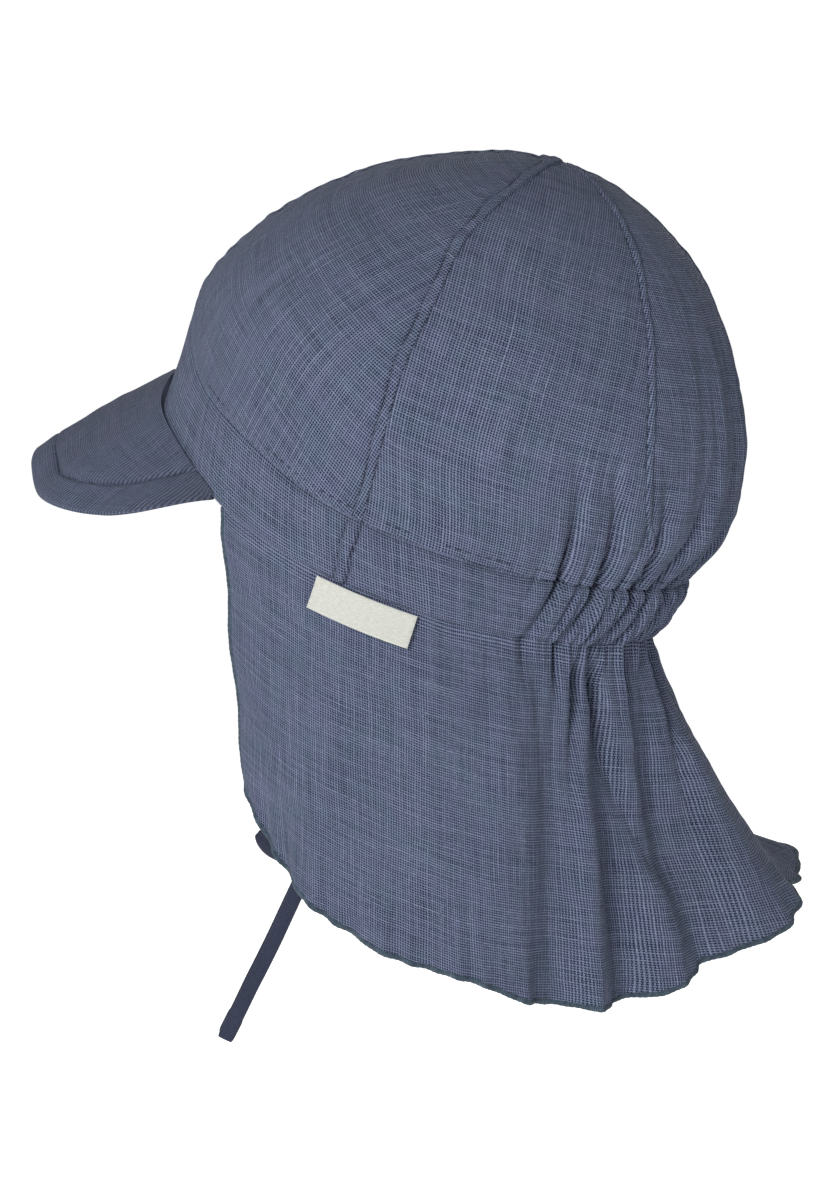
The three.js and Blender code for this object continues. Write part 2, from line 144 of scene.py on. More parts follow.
def band_foot(turn):
    """Height of the band's lower edge."""
    a = from_front(turn)
    side = np.sin(np.radians(np.minimum(a, 90))) ** 2
    return FRONT_ARCH * bell(a / ARCH_SPREAD) - BAND_DIP * side + BACK_LIFT * smooth(a, 90, 180)


def band_top(turn):
    """Height of the seam between the band and the crown."""
    corner = CORNER_RISE * bell((from_front(turn) - CORNER_TURN) / CORNER_SPREAD)
    return band_foot(turn) + BAND_HEIGHT + corner


def band_edge(turn):
    """Points of the band's lower edge, which stands out over the peak."""
    kick = EDGE_KICK * bell((from_front(turn) - KICK_TURN) / KICK_SPREAD)
    return ring(turn, BAND_FRONT + kick, BAND_SIDE + kick, BAND_BACK, band_foot(turn))


def ease_of(z):
    """A height in the crown as a place in its table, with closer rows near the tip."""
    return 1 - np.sqrt(1 - np.clip(z / CROWN_HEIGHT, 0, 1))


def crown_form(turn, z):
    """The crown's plain round form."""
    place = ease_of(z)
    sizes = [
        np.maximum(along(CROWN_ROWS[:, k], place) * whole, CROWN_TIP_RADIUS)
        for k, whole in enumerate((CROWN_FRONT, CROWN_SIDE, CROWN_BACK))
    ]
    return ring(turn, *sizes, z)


# Creases of the elastic on one side: the turn at the band's top edge, how far the crease leans
# forward a sixth of the way up the crown and at the band's foot, its depth and its width
CREASES = [
    # turn, crown_lean, band_lean, depth, width
    (104.0, 3.0, 2.0, 1.0, 1.2),
    (110.5, 5.0, 2.5, 1.6, 1.2),
    (117.0, 7.5, 3.0, 6.4, 1.4),
    (122.0, 7.0, 3.0, 2.2, 1.1),
    (127.0, 9.0, 3.5, 7.4, 1.6),
    (132.5, 5.0, 3.5, 2.6, 1.2),
    (138.5, 7.5, 3.5, 7.0, 1.6),
    (144.0, -1.0, 3.0, 5.4, 1.5),
    (152.0, -5.0, 2.5, 5.4, 1.9),
    (159.0, -2.0, 2.0, 3.2, 1.4),
    (166.0, -2.5, 1.5, 5.2, 1.9),
    (173.5, -1.0, 0.5, 3.4, 1.5),
    (180.0, 0.0, 0.0, 5.0, 1.8),
]
CREASE_REACH = 0.17
CREASE_SHARPNESS = 1.4
# The gathers show from the first turn on and are full at the second
GATHER_START, GATHER_FULL = 98, 116
# How far the crown stands out over the gathers, and the height of the long soft folds there
PUFF, LONG_FOLD = 1.2, 0.7
# Fine ribs of the gathered band: height, pitch, phase
RIBS = [(0.55, 3.1, 0), (0.35, 4.7, 1)]
RIB_LEAN = 3.4


def crease_depth(turn, radius, lean, share):
    """How far the creases pull the cloth in, where share is how strongly they show."""
    a = from_front(turn)
    total = np.zeros_like(a)
    for at, crown_lean, band_lean, depth, width in CREASES:
        off = (a - at + (crown_lean if lean == "crown" else band_lean) * share) * radius * math.pi / 180
        spread = width * (1 + 0.9 * np.clip(share, 0, 3))
        total += depth * np.exp(-(abs(off) / spread) ** CREASE_SHARPNESS)
    return total


def crown_point(turn, share):
    """Points of the crown's cloth, with share from 0 at the band to 1 at the tip."""
    foot = band_top(turn) + GAP
    ease = mix(ease_of(foot), 1, np.clip(share, 0, 1))
    p = crown_form(turn, CROWN_HEIGHT * (1 - (1 - ease) ** 2))
    radius = np.hypot(p[..., 0], p[..., 1])
    a = from_front(turn)
    up = share / CREASE_REACH
    fade = np.clip(1 - 0.75 * up, 0, 1) ** 1.2 * smooth(a, GATHER_START, GATHER_FULL)
    puff = PUFF * smooth(a, 104, 132) * np.maximum(up, 0) ** 0.7
    puff = puff * np.exp(0.7 - 0.7 * np.clip(up, 0, 12)) * smooth(share, 0, 0.025)
    lengthwise = np.sin(np.radians(a) * 27 + 1.5 * share) + 0.6 * np.sin(np.radians(a) * 61 - 2 * share)
    long_folds = LONG_FOLD * lengthwise * smooth(a, 130, 146)
    long_folds = long_folds * smooth(share, 0, 0.08) * (1 - smooth(share, 0.2, 0.7))
    out = puff + long_folds - crease_depth(turn, radius, "crown", up) * fade
    return p + outward(turn) * out[..., None]


def band_gather(turn, up, radius):
    """How far the band's cloth stands out from its plain form."""
    a = from_front(turn)
    deep = mix(0.5, 1.0, np.clip(up, 0, 1) ** 3) * crease_depth(turn, radius, "band", 1 - up)
    deep = deep * smooth(a, GATHER_START, GATHER_FULL)
    around = (a + RIB_LEAN * (1 - up)) * radius * math.pi / 180
    ribs = sum(
        height * np.sin(around * 2 * math.pi / pitch + phase)
        for height, pitch, phase in RIBS
    )
    ribs = ribs * smooth(a, 108, 126) * (1 - 0.8 * smooth(up, 0.8, 1.0))
    middle = np.sin(math.pi * np.clip(up, 0, 1))
    swell = (0.15 + 0.75 * smooth(a, 25, 60)) * middle**0.6 + 1.2 * smooth(a, 112, 134) * middle**0.8
    return swell + ribs - deep


def band_point(turn, up):
    """Points of the band's cloth, with up from 0 at its lower edge to 1 at the crown."""
    p = mix(band_edge(turn), crown_form(turn, band_top(turn)), up[..., None])
    radius = np.hypot(p[..., 0], p[..., 1])
    return p + outward(turn) * band_gather(turn, up, radius)[..., None]


def hat_place(p):
    """From the hat's own upright frame to where the tilted hat holds it."""
    y, z = p[..., 1] + TOP_BEHIND_MIDDLE, p[..., 2]
    c, s = math.cos(HAT_TILT), math.sin(HAT_TILT)
    return np.stack([p[..., 0], y * c + z * s, -y * s + z * c], -1)


def normals_of(grid):
    """Unit normals of a grid of points, [row up][column by the wearer's left]."""
    across = np.gradient(grid, axis=1)
    rise = np.gradient(grid, axis=0)
    n = np.cross(across, rise)
    return n / np.maximum(np.linalg.norm(n, axis=-1, keepdims=True), 1e-9)


# Camera, at the photograph's angle: from the wearer's left, a little above

CAMERA_AZIMUTH, CAMERA_ELEVATION = math.radians(90), math.radians(9)
CAMERA_AWAY = 1.15
PIXEL_MM = 0.30
FRAME_WIDTH, FRAME_HEIGHT = 831, 1200
ORIGIN_IN_FRAME = (425, 529)

back = Vector((
    math.sin(CAMERA_AZIMUTH) * math.cos(CAMERA_ELEVATION),
    -math.cos(CAMERA_AZIMUTH) * math.cos(CAMERA_ELEVATION),
    math.sin(CAMERA_ELEVATION),
))
lens = bpy.data.cameras.new("camera")
lens.sensor_width = 36
lens.lens = 36 * CAMERA_AWAY / (PIXEL_MM * MM * FRAME_HEIGHT)
lens.shift_x = (FRAME_WIDTH / 2 - ORIGIN_IN_FRAME[0]) / FRAME_HEIGHT
lens.shift_y = (ORIGIN_IN_FRAME[1] - FRAME_HEIGHT / 2) / FRAME_HEIGHT
lens.clip_start, lens.clip_end = 0.05, 100
camera = bpy.data.objects.new("camera", lens)
camera.location = back * CAMERA_AWAY
camera.rotation_mode = "QUATERNION"
camera.rotation_quaternion = (-back).to_track_quat("-Z", "Y")
bpy.context.scene.collection.objects.link(camera)
bpy.context.scene.camera = camera


# Materials


class Nodes:
    """Short calls for the nodes of one material."""

    def __init__(self, name):
        self.material = bpy.data.materials.new(name)
        self.material.use_nodes = True
        self.tree = self.material.node_tree
        self.shader = self.tree.nodes["Principled BSDF"]

    def put(self, socket, value):
        if isinstance(value, bpy.types.NodeSocket):
            self.tree.links.new(value, socket)
        elif value is not None:
            socket.default_value = value

    def math(self, operation, a, b=None, c=None, clamp=False):
        node = self.tree.nodes.new("ShaderNodeMath")
        node.operation = operation
        node.use_clamp = clamp
        for socket, value in zip(node.inputs, (a, b, c)):
            self.put(socket, value)
        return node.outputs[0]

    def ramp(self, value, low, high, to_low=0.0, to_high=1.0):
        node = self.tree.nodes.new("ShaderNodeMapRange")
        node.interpolation_type = "SMOOTHSTEP"
        given = {"Value": value, "From Min": low, "From Max": high, "To Min": to_low, "To Max": to_high}
        for name, setting in given.items():
            self.put(node.inputs[name], setting)
        return node.outputs[0]

    def colours(self, share, first, second):
        node = self.tree.nodes.new("ShaderNodeMix")
        node.data_type = "RGBA"
        self.put(node.inputs[0], share)
        for socket, value in ((node.inputs[6], first), (node.inputs[7], second)):
            self.put(socket, (*value, 1) if isinstance(value, tuple) else value)
        return node.outputs[2]

    def point(self, x, y, z=0.0):
        node = self.tree.nodes.new("ShaderNodeCombineXYZ")
        for socket, value in zip(node.inputs, (x, y, z)):
            self.put(socket, value)
        return node.outputs[0]

    def noise(self, vector, scale, detail=1.0):
        node = self.tree.nodes.new("ShaderNodeTexNoise")
        self.put(node.inputs["Vector"], vector)
        node.inputs["Scale"].default_value = scale
        node.inputs["Detail"].default_value = detail
        return node.outputs[0]

    def cloud(self, u, v, u_scale, v_scale, layer, detail):
        """Noise over the cloth with a scale of its own each way."""
        place = self.point(self.math("MULTIPLY", u, u_scale), self.math("MULTIPLY", v, v_scale), layer)
        return self.noise(place, 1.0, detail)

    def ridge(self, place):
        """Rises from 0 to 1 and falls again in each whole step of place."""
        doubled = self.math("MULTIPLY", self.math("FRACT", place), 2.0)
        return self.math("SUBTRACT", 1.0, self.math("ABSOLUTE", self.math("SUBTRACT", doubled, 1.0)))

    def grain(self):
        """The cloth's own measures in millimetres, along its two thread directions."""
        uv = self.tree.nodes.new("ShaderNodeUVMap")
        uv.uv_map = "grain"
        parts = self.tree.nodes.new("ShaderNodeSeparateXYZ")
        self.put(parts.inputs[0], uv.outputs[0])
        return parts.outputs[0], parts.outputs[1]

    def bump(self, height, distance, strength, normal=None):
        node = self.tree.nodes.new("ShaderNodeBump")
        node.inputs["Distance"].default_value = distance
        node.inputs["Strength"].default_value = strength
        self.put(node.inputs["Height"], height)
        if normal is not None:
            self.put(node.inputs["Normal"], normal)
        return node.outputs[0]

    def finish(self, colour, normal, roughness, sheen=0.0, specular=0.2):
        self.put(self.shader.inputs["Base Color"], (*colour, 1) if isinstance(colour, tuple) else colour)
        if normal is not None:
            self.put(self.shader.inputs["Normal"], normal)
        self.shader.inputs["Roughness"].default_value = roughness
        self.shader.inputs["Specular IOR Level"].default_value = specular
        self.shader.inputs["Sheen Weight"].default_value = sheen
        self.shader.inputs["Sheen Roughness"].default_value = 0.6
        return self.material


def muslin(name, thread, gap_colour, slub, tint, pitch=0.75, slubs=1.0, open_weave=0.38):
    """Open plain weave of uneven threads, with paler thick slub threads both ways."""
    n = Nodes(name)
    u, v = n.grain()
    # The threads wander a little
    wide = n.point(n.math("MULTIPLY", u, 0.035), n.math("MULTIPLY", v, 0.035))
    wander_u = n.math("MULTIPLY", n.math("SUBTRACT", n.noise(wide, 1.0), 0.5), 1.2)
    wander_v = n.math("MULTIPLY", n.math("SUBTRACT", n.noise(wide, 1.31), 0.5), 1.2)
    across = n.math("DIVIDE", n.math("ADD", u, wander_u), pitch)
    up = n.math("DIVIDE", n.math("ADD", v, wander_v), pitch)
    column, row = n.math("FLOOR", across), n.math("FLOOR", up)
    # Each thread's own thickness and paleness, which changes slowly along it
    warp = n.cloud(column, v, 3.17, 0.04, 0.0, 3.0)
    weft = n.cloud(u, row, 0.04, 5.31, 9.0, 3.0)
    over = n.math("PINGPONG", n.math("ADD", column, row), 1.0)
    warp_high = n.math("MULTIPLY", n.ridge(across), n.math("SUBTRACT", 1.0, n.math("MULTIPLY", over, 0.4)))
    weft_high = n.math("MULTIPLY", n.ridge(up), n.math("ADD", 0.6, n.math("MULTIPLY", over, 0.4)))
    thin, thick = 0.7, 1.42
    warp_high = n.math("MULTIPLY", warp_high, n.ramp(warp, 0.2, 0.8, thin, thick))
    weft_high = n.math("MULTIPLY", weft_high, n.ramp(weft, 0.2, 0.8, thin, thick))
    height = n.math("MAXIMUM", warp_high, weft_high)
    covered = n.ramp(height, open_weave, open_weave + 0.34)
    warp_pale = n.math("MULTIPLY", n.ramp(warp, 0.52, 0.72), warp_high)
    weft_pale = n.math("MULTIPLY", n.ramp(weft, 0.52, 0.74), weft_high)
    pale = n.math("MULTIPLY", n.math("MAXIMUM", warp_pale, weft_pale), slubs, clamp=True)
    # Slow changes of tint over the cloth, and fine specks
    patch = n.cloud(u, v, 0.11, 0.11, 3.0, 2.0)
    speck = n.cloud(u, v, 0.9, 0.9, 3.0, 2.0)
    colour = n.colours(n.ramp(patch, 0.35, 0.65), thread, tint)
    colour = n.colours(n.math("MULTIPLY", n.ramp(speck, 0.3, 0.75), pale, clamp=True), colour, slub)
    covered = n.math("MULTIPLY", covered, n.ramp(speck, 0.1, 0.6, 0.7, 1.0))
    colour = n.colours(covered, gap_colour, colour)
    soft = n.cloud(u, v, 0.22, 0.22, 5.0, 3.0)
    crumpled = n.bump(soft, 0.0014, 0.4)
    raised = n.math("ADD", height, n.math("MULTIPLY", pale, 0.6))
    normal = n.bump(raised, 0.00025, 0.8, crumpled)
    return n.finish(colour, normal, 0.92, sheen=0.03, specular=0.08)


def thread_wrap(name, dark, light, pitch, lean):
    """Dense thread laid slantwise over an edge. The first measure runs along the edge."""
    n = Nodes(name)
    u, v = n.grain()
    ridge = n.ridge(n.math("ADD", n.math("DIVIDE", u, pitch), n.math("MULTIPLY", v, lean)))
    uneven = n.cloud(u, v, 0.5, 0.5, 0.0, 3.0)
    # The colour runs from dark in the hollows between the turns to light on their crests, broken by uneven
    # noise: painted shade in the hollows and painted highlight on the crests
    colour = n.colours(n.math("MULTIPLY", ridge, n.ramp(uneven, 0.25, 0.7)), dark, light)
    normal = n.bump(ridge, 0.0003, 0.8)
    return n.finish(colour, normal, 0.85, sheen=0.05, specular=0.2)


def label_tape(name):
    """Cream woven tape with fine ribs."""
    n = Nodes(name)
    u, v = n.grain()
    rib_pitch = 0.32
    rib = n.math("SINE", n.math("MULTIPLY", v, 2 * math.pi / rib_pitch))
    fleck = n.cloud(u, v, 0.9, 3.0, 0.0, 3.0)
    colour = n.colours(n.ramp(fleck, 0.3, 0.7), (0.33, 0.335, 0.305), (0.4, 0.405, 0.37))
    normal = n.bump(n.math("ADD", rib, n.math("MULTIPLY", fleck, 2.0)), 0.00008, 0.5)
    return n.finish(colour, normal, 0.6, sheen=0.0, specular=0.35)


CLOTH_SKIN = muslin(
    "muslin_blue", thread=(0.118, 0.132, 0.206), gap_colour=(0.008, 0.012, 0.027),
    slub=(0.17, 0.19, 0.285), tint=(0.108, 0.135, 0.197),
)
PEAK_SKIN = muslin(
    "muslin_peak", thread=(0.082, 0.092, 0.144), gap_colour=(0.009, 0.012, 0.025),
    slub=(0.112, 0.126, 0.188), tint=(0.076, 0.094, 0.138), pitch=0.62, slubs=0.5, open_weave=0.3,
)
TIE_SKIN = muslin(
    "muslin_tie", thread=(0.033, 0.038, 0.066), gap_colour=(0.01, 0.012, 0.024),
    slub=(0.05, 0.057, 0.092), tint=(0.03, 0.037, 0.062), pitch=0.5, slubs=0.4, open_weave=0.2,
)
# Each thread's two colours are its painted shade in the hollows between turns and its painted highlight on
# the crests
HEM_SKIN = thread_wrap("overlock_thread", (0.018, 0.03, 0.048), (0.07, 0.105, 0.135), 0.55, 0.35)
STITCH_SKIN = thread_wrap("sewing_thread", (0.02, 0.025, 0.05), (0.07, 0.08, 0.135), 0.3, 0.5)
LABEL_SKIN = label_tape("label_tape")


# Meshes


def make(name, points, faces, grain, skin, slot, crease=50):
    """A smooth-shaded mesh in the row frame that rides on the hat. The grain has a pair of
    measures for each corner of each face."""
    mesh = bpy.data.meshes.new(name)
    points = np.asarray(points, np.float64).reshape(-1, 3) * MM
    faces = np.asarray(faces, np.int32)
    mesh.vertices.add(len(points))
    mesh.vertices.foreach_set("co", points.astype(np.float32).ravel())
    mesh.loops.add(faces.size)
    mesh.loops.foreach_set("vertex_index", faces.ravel())
    mesh.polygons.add(len(faces))
    mesh.polygons.foreach_set("loop_start", np.arange(0, faces.size, faces.shape[1], dtype=np.int32))
    layer = mesh.uv_layers.new(name="grain")
    layer.data.foreach_set("uv", np.asarray(grain, np.float32).ravel())
    mesh.update(calc_edges=True)
    mesh.validate()
    mesh.polygons.foreach_set("use_smooth", np.ones(len(mesh.polygons), bool))
    mesh.set_sharp_from_angle(angle=math.radians(crease))
    mesh.materials.append(skin)
    obj = bpy.data.objects.new(name, mesh)
    bpy.context.scene.collection.objects.link(obj)
    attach(obj, "root")
    return obj


def shell(outer, inner, grain, closed=False):
    """The closed skin between two grids of points. The grain has one more column than a
    closed grid has points."""
    rows, columns = outer.shape[:2]
    points = np.concatenate([outer.reshape(-1, 3), inner.reshape(-1, 3)])
    last = columns if closed else columns - 1
    wide = grain.shape[1]
    faces, corners = [], []

    def quads(sides, i, j):
        for side, i_step, j_step in sides:
            ii, jj = i + i_step, j + j_step
            yield side * rows * columns + ii * columns + jj % columns, ii * wide + jj

    def add(sides, i, j):
        ids, uvs = zip(*quads(sides, i, j))
        faces.append(np.stack([np.broadcast_to(x, i.shape).ravel() for x in ids], -1))
        corners.append(np.stack([np.broadcast_to(x, i.shape).ravel() for x in uvs], -1))

    i, j = np.meshgrid(np.arange(rows - 1), np.arange(last), indexing="ij")
    add([(0, 0, 0), (0, 0, 1), (0, 1, 1), (0, 1, 0)], i, j)
    add([(1, 0, 0), (1, 1, 0), (1, 1, 1), (1, 0, 1)], i, j)
    j = np.arange(last)
    add([(1, 0, 0), (1, 0, 1), (0, 0, 1), (0, 0, 0)], np.zeros_like(j), j)
    add([(0, 0, 0), (0, 0, 1), (1, 0, 1), (1, 0, 0)], np.full_like(j, rows - 1), j)
    if not closed:
        i = np.arange(rows - 1)
        add([(0, 0, 0), (0, 1, 0), (1, 1, 0), (1, 0, 0)], i, np.zeros_like(i))
        add([(1, 0, 0), (1, 1, 0), (0, 1, 0), (0, 0, 0)], i, np.full_like(i, last))
    faces, corners = np.concatenate(faces), np.concatenate(corners)
    return points, faces, grain.reshape(-1, 2)[corners]


def tangents_of(path):
    """Unit directions along a path."""
    t = np.gradient(path, axis=0)
    return t / np.linalg.norm(t, axis=-1, keepdims=True)


def lengths_of(path):
    """The distance run along a path up to each of its points."""
    return np.concatenate([[0], np.cumsum(np.linalg.norm(np.diff(path, axis=0), axis=-1))])


def tube(path, side, out, section):
    """A closed tube. The section has an even number of pairs of offsets along side and out,
    for every point of the path or the same for all."""
    count = len(path)
    section = np.broadcast_to(section, (count, *np.shape(section)[-2:]))
    around = section.shape[1]
    rings = path[:, None] + side[:, None] * section[..., :1] + out[:, None] * section[..., 1:]
    i, j = (x.ravel() for x in np.meshgrid(np.arange(count - 1), np.arange(around), indexing="ij"))
    k = (j + 1) % around
    faces = np.stack([i * around + j, i * around + k, (i + 1) * around + k, (i + 1) * around + j], -1)
    run = lengths_of(path)
    girth = lengths_of(np.concatenate([section[count // 2], section[count // 2][:1]]))
    low, high = girth[j], girth[j + 1]
    corners = [run[i], low, run[i], high, run[i + 1], high, run[i + 1], low]
    grain = np.stack(corners, -1).reshape(-1, 4, 2)
    m = np.arange(around // 2 - 1)
    cap = np.stack([m, around - 1 - m, around - 2 - m, m + 1], -1)
    caps = np.concatenate([cap, cap[:, ::-1] + (count - 1) * around])
    cap_grain = np.tile(section[count // 2][cap], (2, 1, 1))
    return rings.reshape(-1, 3), np.concatenate([faces, caps]), np.concatenate([grain, cap_grain])


def join(parts):
    """Several meshes as one list of points, faces and grain."""
    points, faces, grain, start = [], [], [], 0
    for p, f, g in parts:
        points.append(np.asarray(p).reshape(-1, 3))
        faces.append(f + start)
        grain.append(g)
        start += len(points[-1])
    return np.concatenate(points), np.concatenate(faces), np.concatenate(grain)


def even_path(points, step):
    """A smooth path through a few points, with steps of one length."""
    points = np.asarray(points, float)
    fine = np.stack([along(points[:, k], np.linspace(0, 1, 60 * len(points))) for k in range(3)], -1)
    run = lengths_of(fine)
    at = np.linspace(0, run[-1], max(int(run[-1] / step), 2) + 1)
    return np.stack([np.interp(at, run, fine[:, k]) for k in range(3)], -1)


def stitches(path, normals, length, space, radius, sink=0.08):
    """A row of sewn stitches along a path that lies on a surface."""
    run = lengths_of(path)
    starts = np.arange(0.4, run[-1] - length, length + space)
    share = np.linspace(0, 1, 6)
    place = starts[:, None] + length * share
    centre = np.stack([np.interp(place, run, path[:, k]) for k in range(3)], -1)
    up = np.stack([np.interp(place, run, normals[:, k]) for k in range(3)], -1)
    lift = radius * (np.sin(math.pi * share) ** 0.5 * 0.9 - 0.5) - sink
    centre = centre + up * lift[:, None]
    parts = []
    angle = np.arange(6) * math.pi / 3
    section = np.stack([np.cos(angle), np.sin(angle)], -1)
    size = radius * np.array([0.55, 0.95, 1, 1, 0.95, 0.55])
    for c, n in zip(centre, up):
        t = tangents_of(c)
        side = np.cross(t, n)
        side /= np.linalg.norm(side, axis=-1, keepdims=True)
        parts.append(tube(c, -side, np.cross(side, t), section[None] * size[:, None, None]))
    return join(parts)


# Chin ties: flat strips from the band down inside the flap to the bow under the chin

TIE_WIDTH = 4.6
TIE_THICKNESS = 1.4
KNOT = (0, -34.5, -101.5)
TIE_ROUTE = [
    (59.4, -39.6, 0.8), (59, -39.2, -12), (57, -38.6, -27), (53.5, -37.8, -42), (48, -37, -57),
    (40.5, -36.2, -71), (31, -35.5, -83), (20, -35, -92), (11, -34.7, -97.6), (4.9, -34.5, -100.6),
]
TIE_END_ROUTE = [
    (1.9, -36.1, -104.85), (3.3, -39.4, -112), (3.8, -42.6, -119), (4, -46, -126.4),
    (3.9, -49.6, -133.8), (3.6, -53.4, -141.4), (3.2, -57.2, -149.4), (2.8, -61.2, -157.4),
]
LOOP_ROUTE = [
    (2.6, -38.3, -99.9), (5.4, -41.6, -97.4), (8.6, -45.2, -94.6), (11.2, -48.2, -92.2),
    (12.8, -50.2, -90.4),
]


def strip_section(width, thickness):
    """A folded strip: flat faces with soft edges, and a shallow line of stitching by one edge."""
    w, h = width / 2, thickness / 2
    return np.array([
        (w, 0), (w - 0.15, h * 0.7), (w - 0.5, h), (w - 0.95, h * 0.78), (w - 1.4, h), (0, h * 1.04),
        (-w + 0.5, h), (-w + 0.12, h * 0.7), (-w, 0), (-w + 0.12, -h * 0.7), (-w + 0.5, -h),
        (0, -h * 1.04), (w - 1.4, -h), (w - 0.95, -h * 0.78), (w - 0.5, -h), (w - 0.15, -h * 0.7),
    ])


def strip(path, facing, sizes=None):
    """A tie's flat strip along a path. Its width lies across the facing direction."""
    t = tangents_of(path)
    side = np.cross(np.broadcast_to(facing, t.shape), t)
    side /= np.linalg.norm(side, axis=-1, keepdims=True)
    out = np.cross(t, side)
    section = strip_section(TIE_WIDTH, TIE_THICKNESS)[None]
    if sizes is not None:
        section = section * np.asarray(sizes)[:, None, None]
    return tube(path, side, out, section)


def mirrored(route, sign):
    """A route of the left side, or with sign -1 the same on the right."""
    return np.asarray(route, float) * (sign, 1, 1)


def bow():
    """The knot: a short wrap of the strip across, with a turn of it round the middle."""
    x, y, z = KNOT
    share = np.linspace(-1, 1, 25)
    path = np.stack([x + 4.0 * share, y + 0 * share, z + 0 * share], -1)
    angle = np.linspace(0, 2 * math.pi, 24, endpoint=False)
    ring_of = np.stack([np.cos(angle), np.sin(angle)], -1)
    creases = 1 + 0.06 * np.sin(3 * angle + 0.6) + 0.05 * np.sin(5 * angle)
    radius = 3.5 * np.sqrt(np.clip(1 - (0.9 * share) ** 2, 0.04, 1)) * (1 + 0.09 * np.cos(share * 7))
    section = ring_of[None] * creases[None, :, None] * radius[:, None, None]
    side = np.broadcast_to((0.0, 1.0, 0.0), path.shape)
    out = np.broadcast_to((0.0, 0.0, 1.0), path.shape)
    return tube(path, side, out, section)


knot_piece = make("bow_knot_cloth", *bow(), TIE_SKIN, "tie_cloth")
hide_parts("bow_knot")

for side_name, sign in (("left", 1), ("right", -1)):
    path = even_path(mirrored(LOOP_ROUTE, sign), 0.5)
    share = np.linspace(0, 1, len(path))
    size = np.sin(math.pi * mix(0.14, 0.97, share)) ** 0.55
    angle = np.linspace(0, 2 * math.pi, 32, endpoint=False)
    wide, thick = np.cos(angle), np.sin(angle)
    thick = thick * (1 - 0.55 * bell(wide / 0.35)) * (1 + 0.2 * np.cos(3 * angle))
    section = np.stack([4.7 * wide, 1.5 * thick], -1)[None] * size[:, None, None]
    t = tangents_of(path)
    across = np.cross(np.broadcast_to((sign, 0.0, 0.0), t.shape), t)
    across /= np.linalg.norm(across, axis=-1, keepdims=True)
    loop = tube(path, across, np.cross(t, across), section)
    make(f"bow_loop_{side_name}_cloth", *loop, TIE_SKIN, "tie_cloth")
    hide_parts(f"bow_loop_{side_name}")

for side_name, sign in (("left", 1), ("right", -1)):
    path = even_path(mirrored(TIE_ROUTE, sign), 1.0)
    tie = make(f"tie_{side_name}_cloth", *strip(path, (sign, 0.0, 0.2 * sign)), TIE_SKIN, "tie_cloth")
    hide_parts(f"tie_{side_name}")
    path = even_path(mirrored(TIE_END_ROUTE, sign), 0.8)
    run = lengths_of(path)
    from_tip = run[-1] - run
    # The tip is folded over and sewn down
    fold = 1 + 0.1 * smooth(from_tip, 7.6, 7.0) - 0.12 * smooth(from_tip, 1.2, 0.0)
    shape = strip(path, (sign, 0.0, 0.0), fold)
    tail = make(f"tie_end_{side_name}_cloth", *shape, TIE_SKIN, "tie_cloth")
    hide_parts(f"tie_end_{side_name}")


# Crown panels: each has a raised welt beside its rear seam, with stitching along the welts of the front
# and side panels

EDGE_STEPS = np.array([0, 0.15, 0.3, 0.5, 0.8, 1.2, 1.7, 2.2, 2.6, 2.85, 3.0, 3.15, 3.4, 3.8, 4.4])
PANEL_LEVELS, PANEL_INSIDE = 150, 96
WELT, REAR_WELT, BACK_WELT, FRONT_WELT = 3.0, 2.2, 1.6, 2.0
PUCKER_PITCH = 6.6
SEAM_LAP = 0.25
# How far each panel's cloth is turned on the grain, in degrees
GRAIN_TURN = {"front": 16, "side": 3, "back": -2}


def welt_height(off, width, along_mm, seed):
    """The seam's relief: off is the distance from it, positive on the welt's side."""
    pucker = 0.5 + 0.5 * np.sin(along_mm * 2 * math.pi / PUCKER_PITCH + 1.3 * np.sin(along_mm / 9 + seed))
    width = width + 0.25 * np.sin(along_mm / 3.1 + seed)
    plateau = smooth(off, 0.0, 0.5) * (1 - smooth(off, width - 0.5, width + 0.2))
    groove = -1.15 * bell(off / 0.38) - 0.55 * bell((off - width - 0.15) / 0.35)
    beyond = -0.35 * bell((off + 1.0) / 0.9)
    return plateau * (0.75 + 0.3 * pucker) + groove + beyond * pucker


